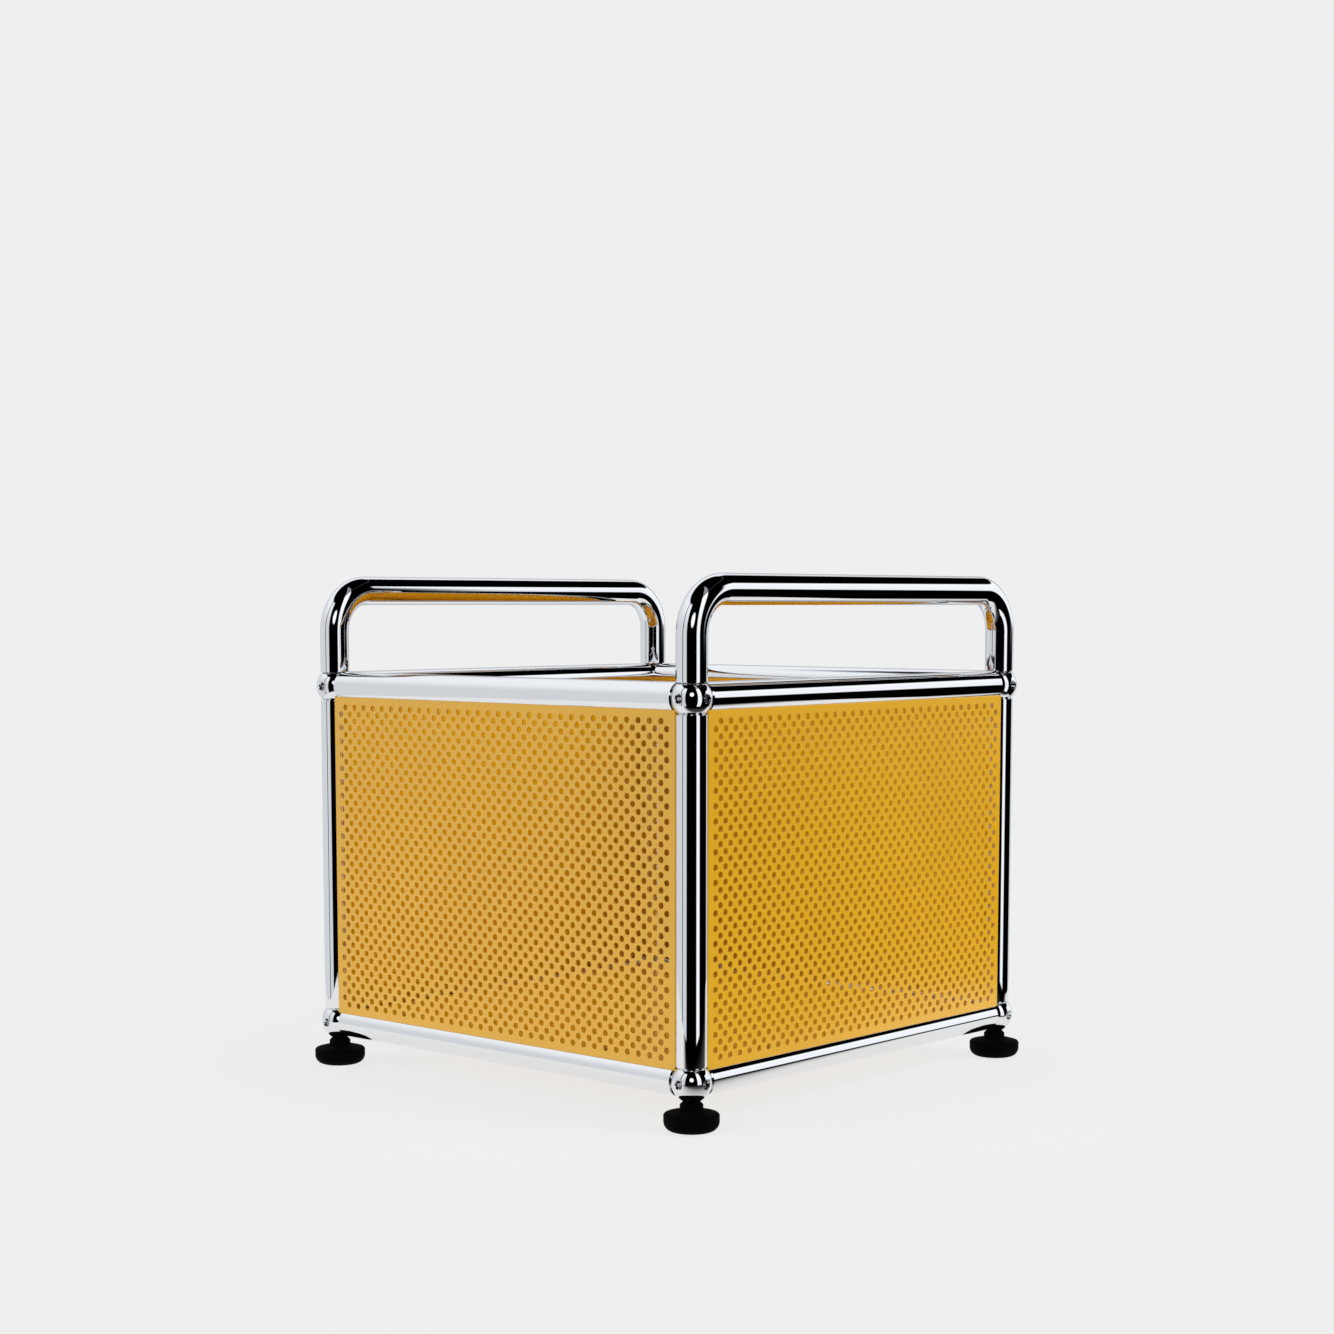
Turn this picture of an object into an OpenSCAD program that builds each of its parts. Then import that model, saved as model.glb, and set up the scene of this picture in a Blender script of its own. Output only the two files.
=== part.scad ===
// Open-topped storage crate on a ball-and-tube frame: eight corner balls, twelve tubes,
// four side panels and a floor of sheet steel, two bent-tube handles and four levelling feet.
// Left is -X, right is +X, front is -Y and back is +Y. The origin is on the ground, under the middle.

/* [Frame] */
// Distance between ball centres from left to right
module_w = 350; // [250:1:500]
// Distance between ball centres from front to back
module_d = 350; // [250:1:500]
// Distance between ball centres from bottom to top
module_h = 250; // [150:1:400]

/* [Balls] */
// Diameter of each corner ball
ball_d = 27; // [23:0.5:36]
// Diameter of the threaded holes in a ball
thread_d = 6; // [5:0.5:7]
// Depth of the small flat around the mouth of each threaded hole
flat_depth = 0.5; // [0.3:0.1:1]
// Metal left between the ends of two neighbouring threaded holes
hole_web = 1.5; // [1:0.1:2]

/* [Tubes] */
// Outside diameter of every tube
tube_d = 21; // [16:0.5:25]
// Wall of every tube
tube_wall = 1.5; // [1:0.1:2]
// Gap between the inner edge of a tube's end and the ball it stands on
seat_gap = 0.05; // [0.02:0.01:0.2]
// Clearance kept by the chamfers between the ends of two tubes that stand on one ball
end_gap = 0.1; // [0.05:0.05:0.3]

/* [Tube fixings] */
// Length of the plug pressed into each tube's end
plug_len = 14; // [10:1:20]
// Play around a screw where it passes through a plug
screw_play = 0.3; // [0.2:0.1:0.6]
// Play between a screw's thread and the threaded hole
thread_play = 0.02; // [0.01:0.01:0.05]
// Diameter of a screw's head
head_d = 10; // [9:0.5:12]
// Height of a screw's head
head_h = 6; // [4:0.5:8]
// Size across the flats of the socket in a screw's head
socket_af = 5; // [4:0.5:6]
// Depth of the socket in a screw's head
socket_depth = 3; // [2:0.5:3.5]

/* [Panels] */
// Thickness of the sheet
sheet_t = 1; // [0.8:0.1:1.5]
// Distance of a panel's outer face from the plane of the tubes' axes
panel_out = 7.5; // [6:0.1:8.5]
// Gap between a panel's edge and the tubes and balls around it
panel_gap = 0.2; // [0.1:0.05:0.5]
// Depth of the flange that stiffens a panel along its four sides
flange_depth = 10; // [8:0.5:14]
// Gap between the flange and the tube beside it
flange_gap = 0.4; // [0.2:0.1:1]
// Distance between the two snap buttons along an edge
button_span = 200; // [120:5:220]
// Diameter of a snap button's shank
button_d = 5; // [4:0.5:6]
// Diameter of a snap button's head
button_head_d = 8; // [7.5:0.5:9]
// Thickness of a snap button's head
button_head_h = 1.5; // [1:0.1:2]
// How far a snap button reaches past the inside of the tube's wall
button_reach = 1; // [0.5:0.1:2]
// Play around a snap button in the tube's wall
button_play = 0.1; // [0.05:0.05:0.3]

/* [Handles] */
// Height of a handle's bar above the centres of the top balls
handle_rise = 70; // [55:1:100]
// Radius of a handle's bends, at the middle of the tube
bend_r = 30; // [22:1:40]

/* [Feet] */
// Diameter of a foot's pad
pad_d = 37; // [30:1:45]
// Radius of the rounding under the pad
pad_round = 6.5; // [4:0.5:8]
// Height of the pad's upright rim above that rounding
rim_h = 4.3; // [3:0.1:6]
// Chamfer along the top of the rim
rim_chamfer = 0.9; // [0.5:0.1:1.5]
// Height of the pad's cone above the rim
cone_h = 3.6; // [2:0.1:6]
// Diameter of the neck above the pad
neck_d = 15.5; // [13:0.5:18]
// Height of the neck, with its chamfer
neck_h = 5; // [4:0.1:8]
// Chamfer around the top of the neck
neck_chamfer = 2; // [1:0.1:2.5]
// Gap between the neck's top and the ball when the foot is screwed right in
stop_gap = 0.3; // [0.2:0.05:0.6]
// Gap between the ball and the dish in the neck's top that clears it
dish_gap = 0.15; // [0.05:0.05:0.25]
// Diameter of the spigot on which the neck turns in the pad
spigot_d = 9; // [8.5:0.1:10]
// Length of that spigot
spigot_len = 8; // [6:0.5:9]
// Running clearance around the spigot and the stud, on the radius
running = 0.05; // [0.02:0.01:0.1]
// Gap under the spigot and between the neck and the pad
thrust_gap = 0.1; // [0.05:0.05:0.3]
// Gap between the stud's tip and the end of its hole
tip_gap = 0.5; // [0.3:0.1:1]
// How far the stud reaches down into the neck and the spigot
stud_root = 9; // [6:0.5:10]

/* [Hidden] */
$fn = 48;

ball_r = ball_d / 2;
ball_flat = ball_r - flat_depth;
thread_r = thread_d / 2;
hole_end = thread_r + hole_web;

tube_r = tube_d / 2;
bore_r = tube_r - tube_wall;
// Distance from a ball's centre to the end of each tube on it
tube_seat = sqrt(ball_r * ball_r - bore_r * bore_r) + seat_gap;
end_chamfer = max(tube_r - tube_seat, 0) + end_gap;

flange_out = tube_r + flange_gap;
button_r = button_d / 2;

// Heights of the foot's own steps above the ground, and of the two layers of balls
rim_z = pad_round + rim_h;
cone_z = rim_z + rim_chamfer;
pad_top = cone_z + cone_h - rim_chamfer;
neck_bottom = pad_top + thrust_gap;
neck_top = neck_bottom + neck_h;
neck_top_r = neck_d / 2 - neck_chamfer;
low_z = neck_top + stop_gap + sqrt(ball_r * ball_r - neck_top_r * neck_top_r);
top_z = low_z + module_h;
stud_r = thread_r - running;
spigot_bottom = neck_bottom - spigot_len;

steel = [0.80, 0.82, 0.84];
zinc = [0.62, 0.63, 0.62];
yellow = [0.86, 0.65, 0.18];
black = [0.05, 0.05, 0.05];

// Left-right and front-back signs of the four corners: front left, front right, back left, back right
CORNERS = [[-1, -1], [1, -1], [-1, 1], [1, 1]];
// Turns that bring a piece's own +Z to each of the directions it is needed in
UP = [0, 0, 0];
DOWN = [180, 0, 0];
LEFT = [0, -90, 0];
RIGHT = [0, 90, 0];
FRONT = [90, 0, 0];
BACK = [-90, 0, 0];

module at_corner(corner, z) {
    translate([corner[0] * module_w / 2, corner[1] * module_d / 2, z]) children();
}

// A threaded hole with its flat, along +Z from near the middle of a ball
module threaded_hole() {
    translate([0, 0, hole_end]) cylinder(r = thread_r, h = ball_r);
    translate([0, 0, ball_flat]) cylinder(r = ball_r, h = ball_r);
}

// A corner ball, drilled from all six sides
module ball() {
    quarter_turn = [0, 0, 90];
    color(steel) rotate(quarter_turn)
    difference() {
        sphere(r = ball_r);
        for (turn = [UP, DOWN, RIGHT, LEFT, FRONT, BACK]) rotate(turn) threaded_hole();
    }
}

// A straight tube along +Z, open at both ends, with the outer edges of the ends chamfered
module tube(length) {
    half = length / 2;
    rotate_extrude() polygon([
        [bore_r, -half], [tube_r - end_chamfer, -half], [tube_r, end_chamfer - half],
        [tube_r, half - end_chamfer], [tube_r - end_chamfer, half], [bore_r, half]
    ]);
}

module upright(corner) {
    color(steel) at_corner(corner, low_z + module_h / 2) tube(module_h - 2 * tube_seat);
}

// A rail along X with its two snap-button holes facing the way side points: 1 is up, -1 is down
module rail(span, side) {
    color(steel)
    difference() {
        rotate(RIGHT) tube(span - 2 * tube_seat);
        for (along = [-1, 1])
            translate([along * button_span / 2, 0, 0])
            rotate(side > 0 ? UP : DOWN)
            cylinder(r = button_r + button_play, h = tube_r + 1);
    }
}

module rail_x(y_side, z, side) {
    translate([0, y_side * module_d / 2, z]) rail(module_w, side);
}

module rail_y(x_side, z, side) {
    translate([x_side * module_w / 2, 0, z]) rotate([0, 0, 90]) rail(module_d, side);
}

// What a panel's edges keep clear of: four tubes and four balls around an opening of w by h
module panel_surround(w, h) {
    for (side = [-1, 1]) {
        translate([0, side * h / 2, 0]) rotate(RIGHT)
            cylinder(r = tube_r + panel_gap, h = w + ball_d, center = true);
        translate([side * w / 2, 0, 0]) rotate(BACK)
            cylinder(r = tube_r + panel_gap, h = h + ball_d, center = true);
        for (end = [-1, 1]) translate([side * w / 2, end * h / 2, 0]) sphere(r = ball_r + panel_gap);
    }
}

// A panel between tube axes w by h apart, its outer face towards +Z and its flange behind it
module panel(w, h, buttons) {
    flange_w = w - 2 * flange_out;
    flange_h = h - 2 * flange_out;
    color(yellow)
    difference() {
        union() {
            translate([0, 0, panel_out - sheet_t / 2])
                cube([w - panel_out, h - panel_out, sheet_t], center = true);
            translate([0, 0, panel_out - sheet_t - flange_depth]) difference() {
                translate([-flange_w / 2, -flange_h / 2, 0]) cube([flange_w, flange_h, flange_depth]);
                translate([sheet_t - flange_w / 2, sheet_t - flange_h / 2, -1])
                    cube([flange_w - 2 * sheet_t, flange_h - 2 * sheet_t, flange_depth + 1]);
            }
        }
        panel_surround(w, h);
        if (buttons)
            for (along = [-1, 1])
                translate([along * button_span / 2, 0, 0])
                rotate(BACK)
                cylinder(r = button_r, h = h, center = true);
    }
}

module side_panel_front_back(turn) {
    translate([0, 0, low_z + module_h / 2]) rotate([0, 0, turn])
    translate([0, -module_d / 2, 0]) rotate(FRONT) panel(module_w, module_h, true);
}

module side_panel_left_right(turn) {
    translate([0, 0, low_z + module_h / 2]) rotate([0, 0, turn])
    translate([0, -module_w / 2, 0]) rotate(FRONT) panel(module_d, module_h, true);
}

module panel_floor() {
    translate([0, 0, low_z]) panel(module_w, module_d, false);
}

// A rod of radius r bent into a hoop: two legs with chamfered ends at leg_z, two bends and a bar
module hoop(r, leg_z) {
    leg = handle_rise - bend_r - leg_z;
    for (turn = [0, 180]) rotate([0, 0, turn]) translate([-module_w / 2, 0, 0]) {
        translate([0, 0, handle_rise - bend_r]) rotate(DOWN)
            rotate_extrude() polygon([
                [0, 0], [r, 0], [r, leg - end_chamfer], [r - end_chamfer, leg], [0, leg]
            ]);
        translate([bend_r, 0, handle_rise - bend_r]) rotate(FRONT) rotate([0, 0, 90])
            rotate_extrude(angle = 90) translate([bend_r, 0]) circle(r = r);
    }
    translate([0, 0, handle_rise]) rotate(RIGHT)
        cylinder(r = r, h = module_w - 2 * bend_r, center = true);
}

// A bent-tube handle standing on the top balls of the front or the back
module handle(y_side) {
    color(steel)
    translate([0, y_side * module_d / 2, top_z]) difference() {
        hoop(tube_r, tube_seat);
        hoop(bore_r, tube_seat - end_chamfer - 1);
    }
}

// The plug in a tube's end, along +Z from the centre of the ball that it is drawn against
module plug() {
    difference() {
        translate([0, 0, tube_seat]) cylinder(r = bore_r, h = plug_len);
        sphere(r = ball_r + seat_gap);
        cylinder(r = thread_r + screw_play, h = tube_seat + plug_len + 1);
    }
}

// The screw that draws a tube's plug against the ball, along +Z from the ball's centre
module screw() {
    head_z = tube_seat + plug_len;
    translate([0, 0, hole_end + tip_gap])
        cylinder(r = thread_r - thread_play, h = head_z - hole_end - tip_gap);
    translate([0, 0, head_z]) difference() {
        cylinder(r = head_d / 2, h = head_h);
        translate([0, 0, head_h - socket_depth]) cylinder(d = socket_af / cos(30), h = head_h, $fn = 6);
    }
}

// Puts a piece at every tube end: two rails and an upright on each ball, and a handle on each top one
module at_tube_ends() {
    for (corner = CORNERS) {
        for (layer = [0, 1]) at_corner(corner, layer == 0 ? low_z : top_z) {
            rotate(corner[0] > 0 ? LEFT : RIGHT) children();
            rotate(corner[1] > 0 ? FRONT : BACK) children();
            rotate(layer == 0 ? UP : DOWN) children();
        }
        at_corner(corner, top_z) children();
    }
}

module tube_plugs() {
    color(zinc) at_tube_ends() plug();
}

module joint_screws() {
    color(steel) at_tube_ends() screw();
}

// A snap button along +Z, towards a rail whose axis passes through the origin
module button() {
    shank_z = -(flange_out + sheet_t);
    translate([0, 0, shank_z]) cylinder(r = button_r, h = sheet_t + flange_gap + tube_wall + button_reach);
    translate([0, 0, shank_z - button_head_h]) cylinder(r = button_head_d / 2, h = button_head_h);
}

module snap_buttons() {
    color(zinc)
    for (along = [-1, 1], side = [-1, 1], layer = [0, 1])
        translate([0, 0, layer == 0 ? low_z : top_z]) rotate(layer == 0 ? DOWN : UP) {
            translate([along * button_span / 2, side * module_d / 2, 0]) button();
            translate([side * module_w / 2, along * button_span / 2, 0]) button();
        }
}

// The pad that stands on the ground, with the socket that the neck turns in
module foot_pad(corner) {
    pad_r = pad_d / 2;
    color(black)
    at_corner(corner, 0) difference() {
        rotate_extrude($fn = 96) union() {
            square([pad_r - pad_round, rim_z]);
            intersection() {
                translate([pad_r - pad_round, pad_round]) circle(r = pad_round);
                square([pad_r, pad_round]);
            }
            translate([0, pad_round]) square([pad_r, rim_h]);
            polygon([
                [0, rim_z], [pad_r, rim_z], [pad_r - rim_chamfer, cone_z], [neck_d / 2, pad_top], [0, pad_top]
            ]);
        }
        translate([0, 0, spigot_bottom - thrust_gap]) cylinder(r = spigot_d / 2 + running, h = pad_top);
    }
}

// The neck that is turned by hand to level the crate, its top dished to clear the ball
module foot_neck(corner) {
    color(black)
    at_corner(corner, 0) difference() {
        union() {
            translate([0, 0, spigot_bottom]) cylinder(r = spigot_d / 2, h = spigot_len);
            translate([0, 0, neck_bottom]) cylinder(r = neck_d / 2, h = neck_h - neck_chamfer);
            translate([0, 0, neck_top - neck_chamfer])
                cylinder(r1 = neck_d / 2, r2 = neck_top_r, h = neck_chamfer);
        }
        translate([0, 0, neck_top - stud_root]) cylinder(r = stud_r, h = stud_root + 1);
        translate([0, 0, low_z]) sphere(r = ball_r + dish_gap);
    }
}

// The threaded stud moulded into the neck, which screws into the ball
module foot_stud(corner) {
    color(steel)
    at_corner(corner, neck_top - stud_root)
    cylinder(r = stud_r, h = low_z - hole_end - tip_gap - neck_top + stud_root);
}

at_corner(CORNERS[0], top_z) ball();  // ball_top_front_left
at_corner(CORNERS[1], top_z) ball();  // ball_top_front_right
at_corner(CORNERS[2], top_z) ball();  // ball_top_back_left
at_corner(CORNERS[3], top_z) ball();  // ball_top_back_right
at_corner(CORNERS[0], low_z) ball();  // ball_bottom_front_left
at_corner(CORNERS[1], low_z) ball();  // ball_bottom_front_right
at_corner(CORNERS[2], low_z) ball();  // ball_bottom_back_left
at_corner(CORNERS[3], low_z) ball();  // ball_bottom_back_right

upright(CORNERS[0]);  // upright_front_left
upright(CORNERS[1]);  // upright_front_right
upright(CORNERS[2]);  // upright_back_left
upright(CORNERS[3]);  // upright_back_right

rail_x(-1, top_z, -1);  // rail_top_front
rail_x(1, top_z, -1);  // rail_top_back
rail_y(-1, top_z, -1);  // rail_top_left
rail_y(1, top_z, -1);  // rail_top_right
rail_x(-1, low_z, 1);  // rail_bottom_front
rail_x(1, low_z, 1);  // rail_bottom_back
rail_y(-1, low_z, 1);  // rail_bottom_left
rail_y(1, low_z, 1);  // rail_bottom_right

side_panel_front_back(0);  // panel_front
side_panel_front_back(180);  // panel_back
side_panel_left_right(-90);  // panel_left
side_panel_left_right(90);  // panel_right
panel_floor();

handle(-1);  // handle_front
handle(1);  // handle_back

tube_plugs();
joint_screws();
snap_buttons();

foot_pad(CORNERS[0]);  // foot_pad_front_left
foot_pad(CORNERS[1]);  // foot_pad_front_right
foot_pad(CORNERS[2]);  // foot_pad_back_left
foot_pad(CORNERS[3]);  // foot_pad_back_right

foot_neck(CORNERS[0]);  // foot_neck_front_left
foot_neck(CORNERS[1]);  // foot_neck_front_right
foot_neck(CORNERS[2]);  // foot_neck_back_left
foot_neck(CORNERS[3]);  // foot_neck_back_right

foot_stud(CORNERS[0]);  // foot_stud_front_left
foot_stud(CORNERS[1]);  // foot_stud_front_right
foot_stud(CORNERS[2]);  // foot_stud_back_left
foot_stud(CORNERS[3]);  // foot_stud_back_right
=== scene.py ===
import math

import bmesh
import bpy
from mathutils import Matrix, Vector


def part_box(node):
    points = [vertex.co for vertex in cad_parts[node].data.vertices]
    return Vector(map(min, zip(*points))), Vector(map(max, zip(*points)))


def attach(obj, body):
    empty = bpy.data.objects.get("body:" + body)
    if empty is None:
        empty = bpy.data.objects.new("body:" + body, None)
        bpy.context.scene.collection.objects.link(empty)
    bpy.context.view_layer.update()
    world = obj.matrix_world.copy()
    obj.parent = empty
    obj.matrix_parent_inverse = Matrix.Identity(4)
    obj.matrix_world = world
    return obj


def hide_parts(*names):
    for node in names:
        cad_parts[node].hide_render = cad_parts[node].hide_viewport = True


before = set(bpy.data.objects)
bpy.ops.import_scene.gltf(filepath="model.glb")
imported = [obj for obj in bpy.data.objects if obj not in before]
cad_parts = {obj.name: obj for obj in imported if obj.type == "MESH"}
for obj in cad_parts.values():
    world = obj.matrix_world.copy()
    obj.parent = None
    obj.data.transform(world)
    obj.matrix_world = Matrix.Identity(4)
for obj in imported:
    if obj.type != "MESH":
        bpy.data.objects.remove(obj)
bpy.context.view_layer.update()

# ------------------------------------------------------------------------------------------
# The places that everything else is set out from: the eight ball centres and the heights of
# the two layers of tubes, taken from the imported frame. Corners are named front/back, left/right.
# ------------------------------------------------------------------------------------------

corners = ("front_left", "front_right", "back_left", "back_right")
layers = ("bottom", "top")
centre = {}
for layer in layers:
    for corner in corners:
        low, high = (Vector(end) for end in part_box("ball_%s_%s" % (layer, corner)))
        centre[layer, corner] = (low + high) / 2

half_width = (centre["top", "front_right"].x - centre["top", "front_left"].x) / 2
half_depth = (centre["top", "back_left"].y - centre["top", "front_left"].y) / 2
low_z = centre["bottom", "front_left"].z
top_z = centre["top", "front_left"].z
middle_z = (low_z + top_z) / 2

# ------------------------------------------------------------------------------------------
# The camera, level with the top of the crate and looking at its front left corner.
# ------------------------------------------------------------------------------------------

camera_place = Vector((-1.3266, -1.1823, 0.3426))
camera_aim = Vector((0.0015, -0.0017, 0.1692))
camera = bpy.data.objects.new("camera", bpy.data.cameras.new("camera"))
camera.location = camera_place
camera.rotation_euler = (camera_aim - camera_place).to_track_quat("-Z", "Y").to_euler()
camera.data.sensor_width = 36.0
camera.data.lens = 64.3
camera.data.shift_x = -0.0043
camera.data.shift_y = 0.1267
camera.data.clip_start = 0.05
bpy.context.scene.collection.objects.link(camera)
bpy.context.scene.camera = camera
bpy.context.scene.view_settings.view_transform = "Standard"
bpy.context.scene.view_settings.look = "None"

# ------------------------------------------------------------------------------------------
# The studio: pale bluish walls and a dark ceiling, with black screens in front and along the
# right and a thin pole on the left. The gap between the screens, a long window in the right
# one and a round lamp draw the white lines on the chrome. Backdrop and floor are even pale grey.
# ------------------------------------------------------------------------------------------

pale = 0.863
wall_light = 0.74
higher_light = 0.25
behind_loss = 0.3
facing = math.atan2(-camera_place.x, -camera_place.y)
towards = (-math.sin(facing), -math.cos(facing), 0.0)
rightwards = (math.cos(facing), -math.sin(facing), 0.0)
away = (math.sin(facing), math.cos(facing), 0.0)
upwards = (0.0, 0.0, 1.0)

world = bpy.data.worlds.new("studio")
world.use_nodes = True
bpy.context.scene.world = world
nodes = world.node_tree.nodes
links = world.node_tree.links
nodes.clear()


def number(tree, operation, first, second=None, clamp=False):
    """Adds a Math node fed by sockets or plain numbers and returns its output."""
    made = tree.nodes.new("ShaderNodeMath")
    made.operation = operation
    made.use_clamp = clamp
    for place, value in enumerate((first, second)):
        if value is None:
            continue
        if isinstance(value, (int, float)):
            made.inputs[place].default_value = value
        else:
            tree.links.new(value, made.inputs[place])
    return made.outputs[0]


def ramp_up(tree, value, start, end):
    """Goes smoothly from 0 at start to 1 at end."""
    made = tree.nodes.new("ShaderNodeMapRange")
    made.interpolation_type = "SMOOTHSTEP"
    tree.links.new(value, made.inputs["Value"])
    made.inputs["From Min"].default_value = start
    made.inputs["From Max"].default_value = end
    return made.outputs[0]


def between(tree, value, low, high, soft):
    """Is 1 from low to high and 0 outside, with soft edges."""
    rise = ramp_up(tree, value, low - soft, low + soft)
    fall = ramp_up(tree, value, high - soft, high + soft)
    return number(tree, "SUBTRACT", rise, fall)


def along(tree, vector, direction):
    """How far a vector reaches along a direction."""
    made = tree.nodes.new("ShaderNodeVectorMath")
    made.operation = "DOT_PRODUCT"
    tree.links.new(vector, made.inputs[0])
    made.inputs[1].default_value = direction
    return made.outputs["Value"]


studio = world.node_tree
looking = nodes.new("ShaderNodeTexCoord").outputs["Generated"]
turn = number(studio, "ARCTAN2", along(studio, looking, rightwards), along(studio, looking, towards))
turn = number(studio, "DEGREES", turn)
rise = number(studio, "DEGREES", number(studio, "ARCSINE", along(studio, looking, upwards)))


def patch(turns, rises, turn_soft, rise_soft):
    """Is 1 in a patch of the studio between two turns and two rises in degrees, and 0 outside it."""
    across = between(studio, turn, *turns, turn_soft)
    return number(studio, "MULTIPLY", across, between(studio, rise, *rises, rise_soft))


wall = number(studio, "MULTIPLY", ramp_up(studio, rise, 10.0, 45.0), higher_light)
wall = number(studio, "ADD", wall, wall_light)
behind = ramp_up(studio, along(studio, looking, away), 0.8, 0.95)
loss = number(studio, "MULTIPLY", behind, behind_loss)
wall = number(studio, "MULTIPLY", wall, number(studio, "SUBTRACT", 1.0, loss))

window = patch((92.0, 152.0), (0.0, 26.0), 2.0, 1.5)
right_top = patch((57.0, 158.0), (0.0, 52.0), 2.0, 1.5)
right_top = number(studio, "MULTIPLY", right_top, number(studio, "SUBTRACT", 1.0, window))
screens = ramp_up(studio, rise, 50.0, 54.0)
for screen in (
    patch((-38.0, 34.0), (-60.0, 89.0), 2.0, 3.0),
    patch((-71.0, -65.0), (-60.0, 89.0), 1.0, 3.0),
    patch((57.0, 125.0), (-60.0, 0.0), 2.0, 1.5),
    right_top,
):
    screens = number(studio, "ADD", screens, screen, clamp=True)

lamp_rise = math.radians(23.0)
lamp_way = [ahead * math.cos(lamp_rise) + up * math.sin(lamp_rise) for ahead, up in zip(towards, upwards)]
lamp_edge = math.cos(math.radians(13.0))
lamp_core = math.cos(math.radians(9.0))
lamp = ramp_up(studio, along(studio, looking, lamp_way), lamp_edge, lamp_core)
gap = between(studio, turn, 34.0, 57.0, 1.0)
seen = number(studio, "MULTIPLY", wall, number(studio, "SUBTRACT", 1.0, screens))
for lit, strength in ((lamp, 1.3), (window, 0.3), (gap, 0.3)):
    seen = number(studio, "ADD", seen, number(studio, "MULTIPLY", lit, strength))

walls = nodes.new("ShaderNodeBackground")
walls.inputs["Color"].default_value = (0.95, 0.98, 1.02, 1.0)
links.new(seen, walls.inputs["Strength"])
backdrop = nodes.new("ShaderNodeBackground")
backdrop.inputs["Color"].default_value = (pale, pale, pale, 1.0)
path = nodes.new("ShaderNodeLightPath")
pick = nodes.new("ShaderNodeMixShader")
links.new(path.outputs["Is Camera Ray"], pick.inputs[0])
links.new(walls.outputs[0], pick.inputs[1])
links.new(backdrop.outputs[0], pick.inputs[2])
links.new(pick.outputs[0], nodes.new("ShaderNodeOutputWorld").inputs["Surface"])

# In front and to the right of the crate the chrome mirrors an unlit stretch of the floor.
floor_r = 0.55
cloth_share = 0.12
floor_paint = bpy.data.materials.new("pale_floor")
floor_paint.use_nodes = True
tree = floor_paint.node_tree
tree.nodes.clear()
spot = tree.nodes.new("ShaderNodeTexCoord").outputs["Object"]
out_from_middle = tree.nodes.new("ShaderNodeVectorMath")
out_from_middle.operation = "LENGTH"
tree.links.new(spot, out_from_middle.inputs[0])
glow = tree.nodes.new("ShaderNodeEmission")
unlit_turn = math.radians(30.0)
unlit_way = [
    ahead * math.cos(unlit_turn) + aside * math.sin(unlit_turn) for ahead, aside in zip(towards, rightwards)
]
unlit = ramp_up(tree, along(tree, spot, unlit_way), 0.2, 0.32)
mirrored = tree.nodes.new("ShaderNodeLightPath").outputs["Is Glossy Ray"]
unlit = number(tree, "MULTIPLY", unlit, mirrored)
strength = number(tree, "MULTIPLY", number(tree, "SUBTRACT", 1.0, unlit), pale)
tree.links.new(strength, glow.inputs["Strength"])
cloth = tree.nodes.new("ShaderNodeBsdfDiffuse")
cloth.inputs["Color"].default_value = (0.85, 0.85, 0.85, 1.0)
fade = number(tree, "MULTIPLY", ramp_up(tree, out_from_middle.outputs["Value"], 0.5, 0.22), cloth_share)
mix = tree.nodes.new("ShaderNodeMixShader")
tree.links.new(fade, mix.inputs[0])
tree.links.new(glow.outputs[0], mix.inputs[1])
tree.links.new(cloth.outputs[0], mix.inputs[2])
tree.links.new(mix.outputs[0], tree.nodes.new("ShaderNodeOutputMaterial").inputs["Surface"])

bm = bmesh.new()
bmesh.ops.create_circle(bm, cap_ends=True, segments=128, radius=floor_r)
floor = bpy.data.objects.new("floor", bpy.data.meshes.new("floor"))
bm.to_mesh(floor.data)
bm.free()
floor.data.materials.append(floor_paint)
bpy.context.scene.collection.objects.link(floor)

# Three soft lights for the paint and the feet, which the chrome doesn't mirror.
for name, place, size, power in (
    ("front_fill", (0.9, -1.9, 1.3), 1.6, 43.0),
    ("left_fill", (-1.9, 0.6, 1.1), 1.6, 21.0),
    ("top_fill", (0.1, 0.1, 2.2), 1.2, 14.0),
):
    light = bpy.data.lights.new(name, "AREA")
    light.shape = "SQUARE"
    light.size = size
    light.energy = power
    holder = bpy.data.objects.new(name, light)
    holder.location = place
    inwards = Vector((0.0, 0.0, middle_z)) - Vector(place)
    holder.rotation_euler = inwards.to_track_quat("-Z", "Y").to_euler()
    holder.visible_glossy = False
    holder.visible_camera = False
    bpy.context.scene.collection.objects.link(holder)

# ------------------------------------------------------------------------------------------
# Corner balls: brass, turned, drilled and tapped M6 from all six sides, then polished and
# chromed. The mouth of each hole is spot-faced, which leaves a narrow flat ring around it.
# ------------------------------------------------------------------------------------------

ball_r = 0.0135
ball_flat = 0.013
hole_r = 0.003
hole_end = 0.0045
thread_pitch = 0.001
thread_root = 0.00032
mouth = 0.0003
side_cells = 20
hole_cells = 4


def new_finish(name):
    """A new material: returns it with its node tree, its shader and the place on the piece."""
    made = bpy.data.materials.new(name)
    made.use_nodes = True
    tree = made.node_tree
    return made, tree, tree.nodes["Principled BSDF"], tree.nodes.new("ShaderNodeTexCoord").outputs["Object"]


def noise(tree, spot, scale, detail):
    """Noise that is fixed to the piece."""
    made = tree.nodes.new("ShaderNodeTexNoise")
    made.inputs["Scale"].default_value = scale
    made.inputs["Detail"].default_value = detail
    tree.links.new(spot, made.inputs["Vector"])
    return made.outputs["Fac"]


def spread(tree, value, low, high, onto):
    """Stretches a value between low and high and feeds it to an input."""
    made = tree.nodes.new("ShaderNodeMapRange")
    made.inputs["To Min"].default_value = low
    made.inputs["To Max"].default_value = high
    tree.links.new(value, made.inputs["Value"])
    tree.links.new(made.outputs[0], onto)
    return made


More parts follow.
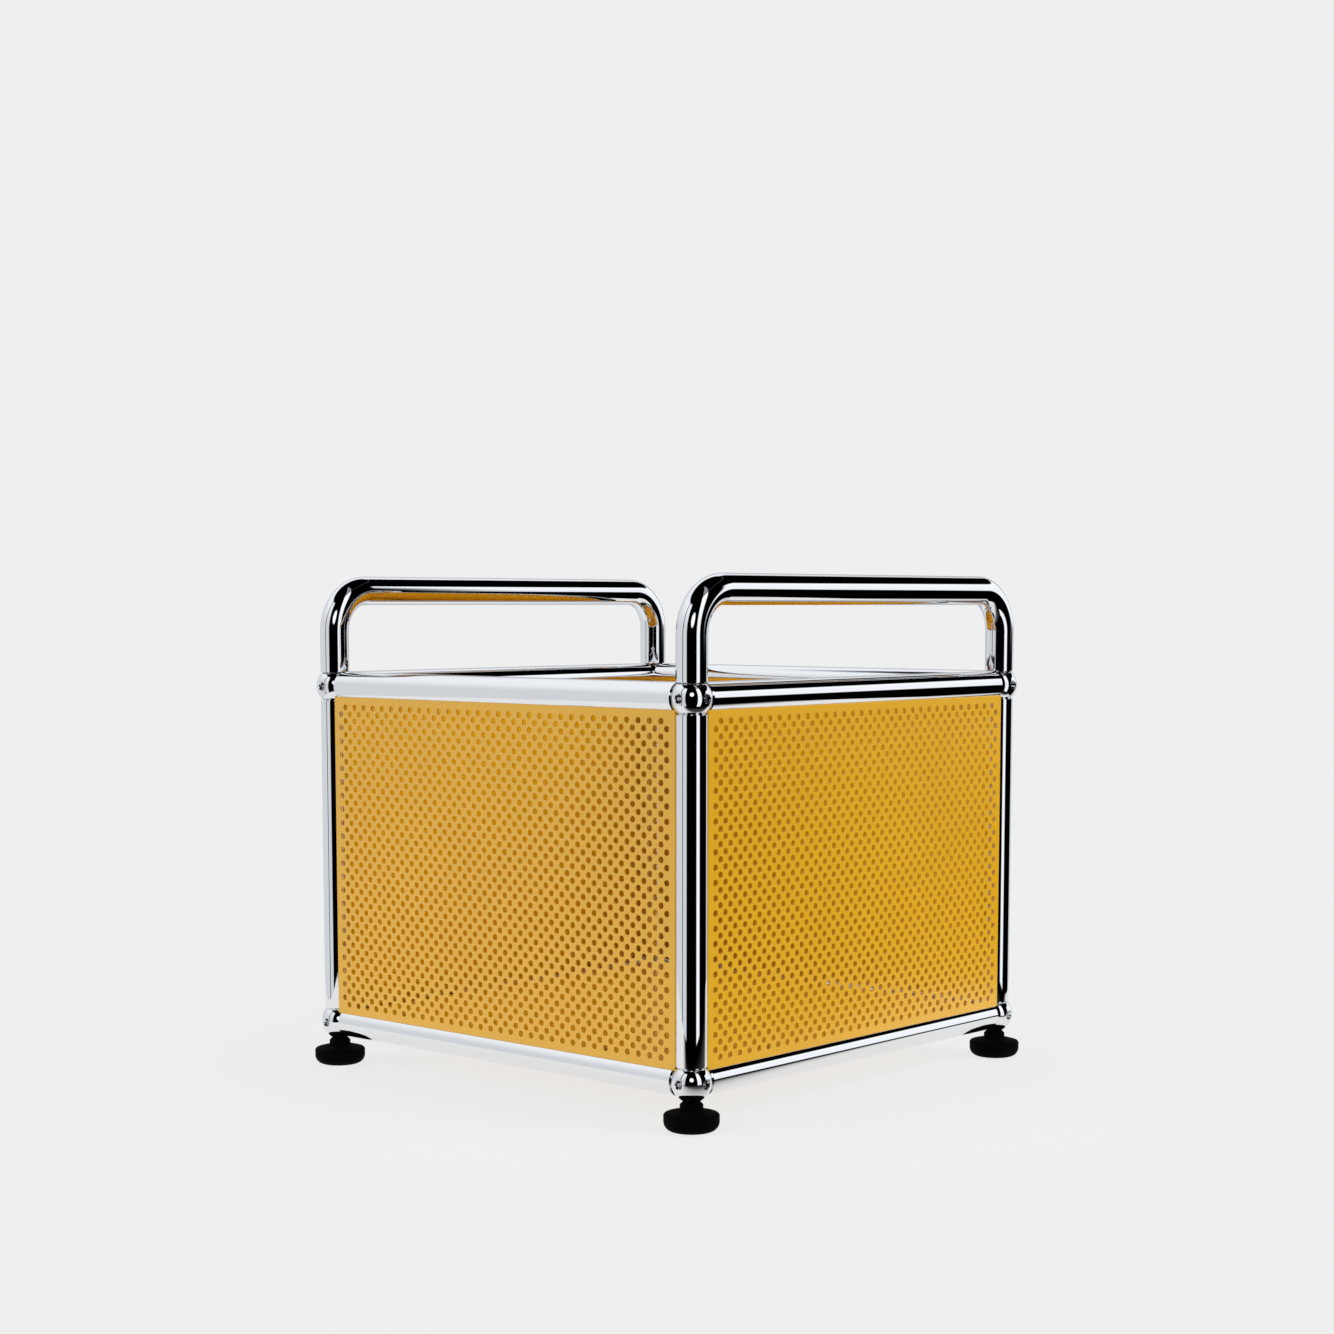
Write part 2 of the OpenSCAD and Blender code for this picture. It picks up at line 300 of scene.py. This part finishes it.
def relief(tree, shader, height, strength, distance):
    """Lets a height roughen the surface without moving it."""
    made = tree.nodes.new("ShaderNodeBump")
    made.inputs["Strength"].default_value = strength
    made.inputs["Distance"].default_value = distance
    tree.links.new(height, made.inputs["Height"])
    tree.links.new(made.outputs[0], shader.inputs["Normal"])


def chrome_finish(name, colour, roughness):
    """Mirror chromium: a faint waviness of the polish under it and a slight haze in patches."""
    made, tree, shader, spot = new_finish(name)
    shader.inputs["Metallic"].default_value = 1.0
    shader.inputs["Base Color"].default_value = colour
    haze = spread(tree, noise(tree, spot, 45.0, 4.0), roughness, roughness * 2.2, shader.inputs["Roughness"])
    haze.inputs["From Min"].default_value = 0.35
    haze.inputs["From Max"].default_value = 0.75
    relief(tree, shader, noise(tree, spot, 160.0, 1.0), 0.12, 0.00003)
    return made


def shade(bm, sharp_from):
    """Smooths every face and keeps the edges sharp that fold by more than an angle in degrees."""
    for face in bm.faces:
        face.smooth = True
    for edge in bm.edges:
        edge.smooth = edge.calc_face_angle(0.0) < math.radians(sharp_from)


def piece(bm, name, material, body, nodes):
    """Makes a mesh into a piece of the crate that rides on a body and stands for CAD nodes."""
    mesh = bpy.data.meshes.new(name)
    bm.to_mesh(mesh)
    bm.free()
    mesh.materials.append(material)
    made = bpy.data.objects.new(name, mesh)
    bpy.context.scene.collection.objects.link(made)
    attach(made, body)
    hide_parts(*nodes)
    return made


def new_verts(grown):
    """The vertices among what an operator has made."""
    return [item for item in grown if isinstance(item, bmesh.types.BMVert)]


def step_loop(bm, edges, radius, height):
    """Carries a round opening on to a ring of another radius and height, and returns its edges."""
    grown = bmesh.ops.extrude_edge_only(bm, edges=edges)["geom"]
    for vert in new_verts(grown):
        flat = Vector((vert.co.x, vert.co.y, 0.0)).normalized() * radius
        vert.co = (flat.x, flat.y, height)
    return [item for item in grown if isinstance(item, bmesh.types.BMEdge)
            and all(abs(vert.co.z - height) < 1e-7 and abs(vert.co.xy.length - radius) < 1e-7
                    for vert in item.verts)]


def ball_side(bm):
    """One sixth of a ball's skin, around the tapped hole along +Z."""
    bmesh.ops.create_grid(bm, x_segments=side_cells, y_segments=side_cells, size=1.0)
    rim = 2.0 * hole_cells / side_cells
    inner = [face for face in bm.faces
             if max(abs(face.calc_center_median().x), abs(face.calc_center_median().y)) < rim]
    bmesh.ops.delete(bm, geom=inner, context="FACES")
    rim_tilt = math.acos(ball_flat / ball_r)
    edge_tilt = math.pi / 4
    for vert in bm.verts:
        u, v = vert.co.x, vert.co.y
        reach = max(abs(u), abs(v))
        share = (reach - rim) / (1.0 - rim)
        if abs(u) >= abs(v):
            around = v / u * edge_tilt + (math.pi if u < 0 else 0.0)
        else:
            around = math.pi / 2 - u / v * edge_tilt + (math.pi if v < 0 else 0.0)
        tilt = rim_tilt + (edge_tilt - rim_tilt) * share
        ring = Vector((math.sin(tilt) * math.cos(around), math.sin(tilt) * math.sin(around), math.cos(tilt)))
        square = Vector((math.tan(u * edge_tilt), math.tan(v * edge_tilt), 1.0)).normalized()
        blend = share * share * (3.0 - 2.0 * share)
        vert.co = (ring * (1.0 - blend) + square * blend).normalized() * ball_r
    loop = [edge for edge in bm.edges if edge.is_boundary
            and all(abs(vert.co.z - ball_flat) < 1e-6 for vert in edge.verts)]
    loop = step_loop(bm, loop, hole_r + mouth, ball_flat)
    depth = ball_flat - mouth
    loop = step_loop(bm, loop, hole_r, depth)
    while depth - thread_pitch > hole_end:
        loop = step_loop(bm, loop, hole_r + thread_root, depth - thread_pitch / 2)
        depth -= thread_pitch
        loop = step_loop(bm, loop, hole_r, depth)
    loop = step_loop(bm, loop, hole_r, hole_end)
    step_loop(bm, loop, 0.0, hole_end)


ball_chrome = chrome_finish("polished_ball_chrome", (0.86, 0.87, 0.885, 1.0), 0.022)
bm = bmesh.new()
ball_side(bm)
first_side = bm.verts[:] + bm.edges[:] + bm.faces[:]
for axis, degrees in (("X", 90), ("X", 180), ("X", 270), ("Y", 90), ("Y", 270)):
    copied = bmesh.ops.duplicate(bm, geom=first_side)["geom"]
    bmesh.ops.rotate(
        bm, verts=new_verts(copied), cent=(0.0, 0.0, 0.0),
        matrix=Matrix.Rotation(math.radians(degrees), 3, axis),
    )
bmesh.ops.remove_doubles(bm, verts=bm.verts, dist=1e-7)
bmesh.ops.recalc_face_normals(bm, faces=bm.faces)
shade(bm, 40.0)
for layer in layers:
    for corner in corners:
        here = bm.copy()
        bmesh.ops.translate(here, verts=here.verts, vec=centre[layer, corner])
        place = "%s_%s" % (layer, corner)
        piece(here, "chrome_ball_" + place, ball_chrome, "crate", ["ball_" + place])
bm.free()

# ------------------------------------------------------------------------------------------
# Uprights and rails: steel tube, 21 mm outside with a 1.5 mm wall, cut square, chamfered at
# the ends and chromed. A plug pressed into each end takes the screw that holds it to a ball.
# ------------------------------------------------------------------------------------------

tube_r = 0.0105
tube_wall = 0.0015
tube_chamfer = 0.00049
tube_steps = 72

tube_chrome = chrome_finish("chromed_tube", (0.88, 0.885, 0.895, 1.0), 0.018)


def turned(bm, profile, steps):
    """Turns a profile of (radius, height) points about the Z axis. A closed one repeats its first point."""
    closed = profile[0] == profile[-1]
    verts = [bm.verts.new((radius, 0.0, height)) for radius, height in profile[:len(profile) - closed]]
    edges = [bm.edges.new(pair) for pair in zip(verts, verts[1:] + verts[:1] * closed)]
    bmesh.ops.spin(
        bm, geom=verts + edges, cent=(0.0, 0.0, 0.0), axis=(0.0, 0.0, 1.0), dvec=(0.0, 0.0, 0.0),
        angle=math.tau, steps=steps, use_merge=True,
    )
    bmesh.ops.remove_doubles(bm, verts=bm.verts, dist=1e-7)
    bmesh.ops.recalc_face_normals(bm, faces=bm.faces)


def straight_tube(node, turn):
    """A tube as long as its node, turned from upright to lie along its own axis."""
    low, high = (Vector(end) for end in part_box(node))
    half = max(high - low) / 2
    bm = bmesh.new()
    turned(bm, [
        (tube_r - tube_wall, -half), (tube_r - tube_chamfer, -half), (tube_r, tube_chamfer - half),
        (tube_r, half - tube_chamfer), (tube_r - tube_chamfer, half), (tube_r - tube_wall, half),
        (tube_r - tube_wall, -half),
    ], tube_steps)
    shade(bm, 30.0)
    bmesh.ops.transform(bm, verts=bm.verts, matrix=Matrix.Translation((low + high) / 2) @ turn)
    piece(bm, "chrome_" + node, tube_chrome, "crate", [node])


for corner in corners:
    straight_tube("upright_" + corner, Matrix.Identity(4))
for layer in layers:
    for side in ("front", "back"):
        straight_tube("rail_%s_%s" % (layer, side), Matrix.Rotation(math.pi / 2, 4, "Y"))
    for side in ("left", "right"):
        straight_tube("rail_%s_%s" % (layer, side), Matrix.Rotation(math.pi / 2, 4, "X"))

# ------------------------------------------------------------------------------------------
# Plugs, screws and snap buttons: zinc castings pressed into the tubes' ends, plated screws
# that draw them to the balls, and plated buttons that snap the panels to the rails.
# ------------------------------------------------------------------------------------------


def worked_metal(name, colour, roughness, grain):
    """Plated or cast metal with a fine grain that breaks up its shine."""
    made, tree, shader, spot = new_finish(name)
    shader.inputs["Metallic"].default_value = 1.0
    shader.inputs["Base Color"].default_value = colour
    speckle = noise(tree, spot, grain, 5.0)
    spread(tree, speckle, roughness * 0.7, roughness * 1.4, shader.inputs["Roughness"])
    relief(tree, shader, speckle, 0.25, 0.00005)
    return made


cast_zinc = worked_metal("cast_zinc", (0.52, 0.53, 0.53, 1.0), 0.45, 900.0)
plated_steel = worked_metal("plated_steel", (0.66, 0.67, 0.66, 1.0), 0.24, 1400.0)
for node, metal in (
    ("tube_plugs", cast_zinc), ("joint_screws", plated_steel), ("snap_buttons", plated_steel),
):
    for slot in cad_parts[node].material_slots:
        slot.material = metal

# ------------------------------------------------------------------------------------------
# Side and floor panels: 1 mm steel sheet, folded inwards along the four sides and powder-coated
# golden yellow. The front and left ones are punched all over with 4.5 mm holes, at the corners
# and middle of each 10 mm square; the right, back and floor ones are plain.
# ------------------------------------------------------------------------------------------

hole_step = 0.005
punch_r = 0.00225
blank_edge = 0.015
hole_inset = 0.0002
sheet_t = 0.001
panel_out = 0.0075
edge_in = 0.00763
edge_turn = 0.0004
edge_drop = 0.00028
fold_in = 0.0109
fold_depth = 0.010


def tinted(tree, shader, value, dark, light):
    """Colours the piece between two tones, and returns the ramp."""
    made = tree.nodes.new("ShaderNodeValToRGB")
    made.color_ramp.elements[0].color = dark
    made.color_ramp.elements[1].color = light
    tree.links.new(value, made.inputs["Fac"])
    tree.links.new(made.outputs["Color"], shader.inputs["Base Color"])
    return made.color_ramp


yellow_coat, tree, shader, spot = new_finish("yellow_powder_coat")
deep_yellow = (0.76, 0.395, 0.004, 1.0)
light_yellow = (0.80, 0.420, 0.006, 1.0)
clouds = tinted(tree, shader, noise(tree, spot, 9.0, 3.0), deep_yellow, light_yellow)
clouds.elements[0].position = 0.3
clouds.elements[1].position = 0.7
grains = noise(tree, spot, 1100.0, 2.0)
spread(tree, grains, 0.30, 0.42, shader.inputs["Roughness"])
relief(tree, shader, grains, 0.35, 0.00004)
shader.inputs["IOR"].default_value = 1.45
shader.inputs["Coat Weight"].default_value = 1.0
shader.inputs["Coat IOR"].default_value = 1.55
shader.inputs["Coat Roughness"].default_value = 0.2


def punch(bm, field_x, field_y):
    """Cuts a round hole in every other square of a grid of small squares."""
    punched = []
    for face in bm.faces:
        middle = face.calc_center_median()
        column = round((middle.x + field_x / 2) / hole_step - 0.5)
        row = round((middle.y + field_y / 2) / hole_step - 0.5)
        if (column + row) % 2 == 1:
            punched.append(face)
    spots = [face.calc_center_median() for face in punched]
    bmesh.ops.subdivide_edges(bm, edges=bm.edges[:], cuts=2, use_grid_fill=False)
    bmesh.ops.inset_individual(bm, faces=punched, thickness=hole_inset)
    for face, middle in zip(punched, spots):
        for vert in face.verts:
            away = vert.co - middle
            vert.co = middle + away.normalized() * punch_r
    bmesh.ops.delete(bm, geom=punched, context="FACES")


def sheet_panel(name, node, width, height, place, with_holes):
    """A panel between tube axes width by height apart, facing +Z, then moved to its place."""
    bm = bmesh.new()
    columns = 2 * round((width / 2 - blank_edge) / hole_step) + 1
    rows = 2 * round((height / 2 - blank_edge) / hole_step) + 1
    field_x = columns * hole_step
    field_y = rows * hole_step
    if with_holes:
        bmesh.ops.create_grid(bm, x_segments=columns, y_segments=rows, size=0.5)
    else:
        bmesh.ops.create_grid(bm, x_segments=1, y_segments=1, size=0.5)
    bmesh.ops.scale(bm, verts=bm.verts, vec=(field_x, field_y, 1.0))
    bmesh.ops.translate(bm, verts=bm.verts, vec=(0.0, 0.0, panel_out))
    if with_holes:
        punch(bm, field_x, field_y)

    border = [edge for edge in bm.edges if edge.is_boundary and any(
        abs(abs(vert.co.x) - field_x / 2) < 1e-6 or abs(abs(vert.co.y) - field_y / 2) < 1e-6
        for vert in edge.verts)]
    steps = ((edge_in + edge_turn, 0.0), (edge_in, edge_drop))
    for inset, drop in steps:
        grown = bmesh.ops.extrude_edge_only(bm, edges=border)["geom"]
        verts = new_verts(grown)
        was_x = max(vert.co.x for vert in verts)
        was_y = max(vert.co.y for vert in verts)
        for vert in verts:
            vert.co.x *= (width / 2 - inset) / was_x
            vert.co.y *= (height / 2 - inset) / was_y
            vert.co.z = panel_out - drop
        border = [item for item in grown if isinstance(item, bmesh.types.BMEdge)
                  and all(vert in verts for vert in item.verts) and item.is_boundary]
    bmesh.ops.recalc_face_normals(bm, faces=bm.faces)
    if sum(face.normal.z for face in bm.faces) < 0:
        bmesh.ops.reverse_faces(bm, faces=bm.faces)
    bmesh.ops.solidify(bm, geom=bm.faces[:], thickness=sheet_t)

    fold = bmesh.ops.create_grid(bm, x_segments=1, y_segments=1, size=0.5)["verts"]
    bmesh.ops.scale(bm, verts=fold, vec=(width - 2 * fold_in, height - 2 * fold_in, 1.0))
    bmesh.ops.translate(bm, verts=fold, vec=(0.0, 0.0, panel_out - sheet_t))
    face = fold[0].link_faces[0]
    bmesh.ops.inset_region(bm, faces=[face], thickness=sheet_t, use_even_offset=True)
    ring = [other for other in bm.faces if other is not face and any(vert in fold for vert in other.verts)]
    bmesh.ops.delete(bm, geom=[face], context="FACES_ONLY")
    down = bmesh.ops.extrude_face_region(bm, geom=ring)["geom"]
    bmesh.ops.translate(bm, verts=new_verts(down), vec=(0.0, 0.0, -fold_depth))
    bmesh.ops.recalc_face_normals(bm, faces=bm.faces)
    for edge in bm.edges:
        edge.smooth = False
    bmesh.ops.transform(bm, verts=bm.verts, matrix=place)
    piece(bm, name, yellow_coat, "crate", [node])


outward = Matrix.Rotation(math.pi / 2, 4, "X")
wide = 2 * half_width
deep = 2 * half_depth
high = top_z - low_z
for side, kind, across, away, degrees in (
    ("front", "perforated", wide, half_depth, 0), ("right", "plain", deep, half_width, 90),
    ("back", "plain", wide, half_depth, 180), ("left", "perforated", deep, half_width, -90),
):
    place = (
        Matrix.Translation((0.0, 0.0, middle_z)) @ Matrix.Rotation(math.radians(degrees), 4, "Z")
        @ Matrix.Translation((0.0, -away, 0.0)) @ outward
    )
    sheet_panel("%s_panel_%s" % (kind, side), "panel_" + side, across, high, place, kind == "perforated")
sheet_panel("plain_floor", "panel_floor", wide, deep, Matrix.Translation((0.0, 0.0, low_z)), False)

# ------------------------------------------------------------------------------------------
# Handles: the same chromed tube bent into a hoop, standing on the two top balls of the front
# and of the back in place of uprights.
# ------------------------------------------------------------------------------------------

handle_rise = 0.070
bend_r = 0.030
bend_steps = 20


def new_edges(grown):
    """The edges that join two of the vertices an operator has made."""
    made = set(new_verts(grown))
    return [item for item in grown if isinstance(item, bmesh.types.BMEdge)
            and all(vert in made for vert in item.verts)]


for side in ("front", "back"):
    low, high_end = (Vector(end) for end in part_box("handle_" + side))
    middle_y = (low.y + high_end.y) / 2
    foot_z = low.z
    bend_z = top_z + handle_rise - bend_r
    bm = bmesh.new()
    bmesh.ops.create_circle(bm, cap_ends=False, segments=tube_steps, radius=tube_r - tube_chamfer)
    bmesh.ops.translate(bm, verts=bm.verts, vec=(-half_width, middle_y, foot_z))
    end = bm.edges[:]
    ring = 1.0 / (1.0 - tube_chamfer / tube_r)
    for lift, grow in ((tube_chamfer, ring), (bend_z - foot_z - tube_chamfer, 1.0)):
        grown = bmesh.ops.extrude_edge_only(bm, edges=end)["geom"]
        bmesh.ops.scale(
            bm, verts=new_verts(grown), vec=(grow, grow, 1.0),
            space=Matrix.Translation((half_width, -middle_y, 0.0)),
        )
        bmesh.ops.translate(bm, verts=new_verts(grown), vec=(0.0, 0.0, lift))
        end = new_edges(grown)
    for bend_x in (bend_r - half_width, half_width - bend_r):
        last = bmesh.ops.spin(
            bm, geom=end + list({vert for edge in end for vert in edge.verts}),
            cent=(bend_x, middle_y, bend_z), axis=(0.0, 1.0, 0.0), dvec=(0.0, 0.0, 0.0),
            angle=math.pi / 2, steps=bend_steps, use_merge=False,
        )["geom_last"]
        end = [item for item in last if isinstance(item, bmesh.types.BMEdge)]
        if bend_x < 0:
            grown = bmesh.ops.extrude_edge_only(bm, edges=end)["geom"]
            bmesh.ops.translate(bm, verts=new_verts(grown), vec=(2 * (half_width - bend_r), 0.0, 0.0))
            end = new_edges(grown)
    for drop, grow in ((bend_z - foot_z - tube_chamfer, 1.0), (tube_chamfer, 1.0 / ring)):
        grown = bmesh.ops.extrude_edge_only(bm, edges=end)["geom"]
        bmesh.ops.scale(
            bm, verts=new_verts(grown), vec=(grow, grow, 1.0),
            space=Matrix.Translation((-half_width, -middle_y, 0.0)),
        )
        bmesh.ops.translate(bm, verts=new_verts(grown), vec=(0.0, 0.0, -drop))
        end = new_edges(grown)
    bmesh.ops.recalc_face_normals(bm, faces=bm.faces)
    top_face = max(bm.faces, key=lambda face: face.calc_center_median().z)
    if top_face.normal.z < 0:
        bmesh.ops.reverse_faces(bm, faces=bm.faces)
    bmesh.ops.solidify(bm, geom=bm.faces[:], thickness=tube_wall)
    bmesh.ops.recalc_face_normals(bm, faces=bm.faces)
    shade(bm, 30.0)
    piece(bm, "chrome_handle_" + side, tube_chrome, "crate", ["handle_" + side])

# ------------------------------------------------------------------------------------------
# Levelling feet: a pad and a neck moulded in black nylon. The neck turns on a spigot in the
# pad and is moulded around a threaded stud, so that turning it screws the foot in or out.
# ------------------------------------------------------------------------------------------

pad_r = 0.0185
pad_round = 0.0065
rim_z = 0.0108
rim_ease = 0.0002
rim_chamfer = 0.0009
cone_z = 0.0117
step_in = 0.0004
step_up = 0.00015
pad_top = 0.0144
neck_r = 0.00775
neck_bottom = 0.0145
neck_top = 0.0195
neck_chamfer = 0.002
spigot_r = 0.0045
spigot_bottom = 0.0065
spigot_chamfer = 0.0003
running = 0.00005
thrust_gap = 0.0001
stud_r = 0.00295
stud_groove = 0.00055
stud_bottom = 0.0105
stud_top = low_z - 0.005
dish_r = 0.01365
foot_steps = 96

black_nylon, tree, shader, spot = new_finish("black_nylon")
grains = noise(tree, spot, 1600.0, 3.0)
tinted(tree, shader, grains, (0.0008, 0.0008, 0.0009, 1.0), (0.0018, 0.0018, 0.0019, 1.0))
relief(tree, shader, grains, 0.3, 0.00004)
shader.inputs["Roughness"].default_value = 0.75
shader.inputs["Specular IOR Level"].default_value = 0.03

rounding = [
    (pad_r - pad_round + pad_round * math.sin(turn), pad_round - pad_round * math.cos(turn))
    for turn in (math.pi / 2 * step / 12 for step in range(13))
]
pad_profile = [(0.0, 0.0)] + rounding + [
    (pad_r, rim_z - rim_ease), (pad_r - rim_ease / 2, rim_z), (pad_r - rim_chamfer, cone_z),
    (pad_r - rim_chamfer - step_in, cone_z + step_up), (neck_r, pad_top),
    (spigot_r + running, pad_top), (spigot_r + running, spigot_bottom - thrust_gap),
    (0.0, spigot_bottom - thrust_gap),
]
dish_edge = math.sqrt(dish_r ** 2 - (low_z - neck_top) ** 2)
dish = [
    (radius, low_z - math.sqrt(dish_r ** 2 - radius ** 2))
    for radius in (dish_edge + (stud_r - dish_edge) * step / 6 for step in range(7))
]
neck_profile = [
    (0.0, spigot_bottom), (spigot_r - spigot_chamfer, spigot_bottom),
    (spigot_r, spigot_bottom + spigot_chamfer),
    (spigot_r, neck_bottom), (neck_r, neck_bottom), (neck_r, neck_top - neck_chamfer),
    (neck_r - neck_chamfer, neck_top),
] + dish + [(stud_r, stud_bottom), (0.0, stud_bottom)]

for corner in corners:
    stand = centre["bottom", corner]
    place = Matrix.Translation((stand.x, stand.y, 0.0))

    bm = bmesh.new()
    turned(bm, pad_profile, foot_steps)
    shade(bm, 35.0)
    bmesh.ops.transform(bm, verts=bm.verts, matrix=place)
    node = "foot_pad_" + corner
    piece(bm, "foot_pad_moulding_" + corner, black_nylon, "pad_" + corner, [node])

    bm = bmesh.new()
    turned(bm, neck_profile, foot_steps)
    shade(bm, 35.0)
    bmesh.ops.transform(bm, verts=bm.verts, matrix=place)
    node = "foot_neck_" + corner
    piece(bm, "foot_neck_moulding_" + corner, black_nylon, "neck_" + corner, [node])

    # The stud's thread is one pitch of its outline, carried round and up as it is cut.
    bm = bmesh.new()
    turns = round((stud_top - stud_bottom) / thread_pitch) - 1
    outline = ((stud_r, 0.0), (stud_r, 0.12), (stud_r - stud_groove, 0.5), (stud_r, 0.88), (stud_r, 1.0))
    verts = [bm.verts.new((radius, 0.0, stud_bottom + share * thread_pitch)) for radius, share in outline]
    edges = [bm.edges.new(pair) for pair in zip(verts, verts[1:])]
    turn_steps = 36
    bmesh.ops.spin(
        bm, geom=verts + edges, cent=(0.0, 0.0, 0.0), axis=(0.0, 0.0, 1.0),
        dvec=(0.0, 0.0, thread_pitch / turn_steps), angle=math.tau * turns, steps=turn_steps * turns,
        use_merge=False,
    )
    bmesh.ops.remove_doubles(bm, verts=bm.verts, dist=1e-6)
    for height in (stud_bottom, stud_top):
        bmesh.ops.bisect_plane(
            bm, geom=bm.verts[:] + bm.edges[:] + bm.faces[:], dist=1e-7, plane_co=(0.0, 0.0, height),
            plane_no=(0.0, 0.0, 1.0 if height > stud_bottom else -1.0), clear_outer=True,
        )
    bmesh.ops.holes_fill(bm, edges=[edge for edge in bm.edges if edge.is_boundary])
    bmesh.ops.recalc_face_normals(bm, faces=bm.faces)
    shade(bm, 20.0)
    bmesh.ops.transform(bm, verts=bm.verts, matrix=place)
    node = "foot_stud_" + corner
    piece(bm, "foot_stud_thread_" + corner, plated_steel, "neck_" + corner, [node])
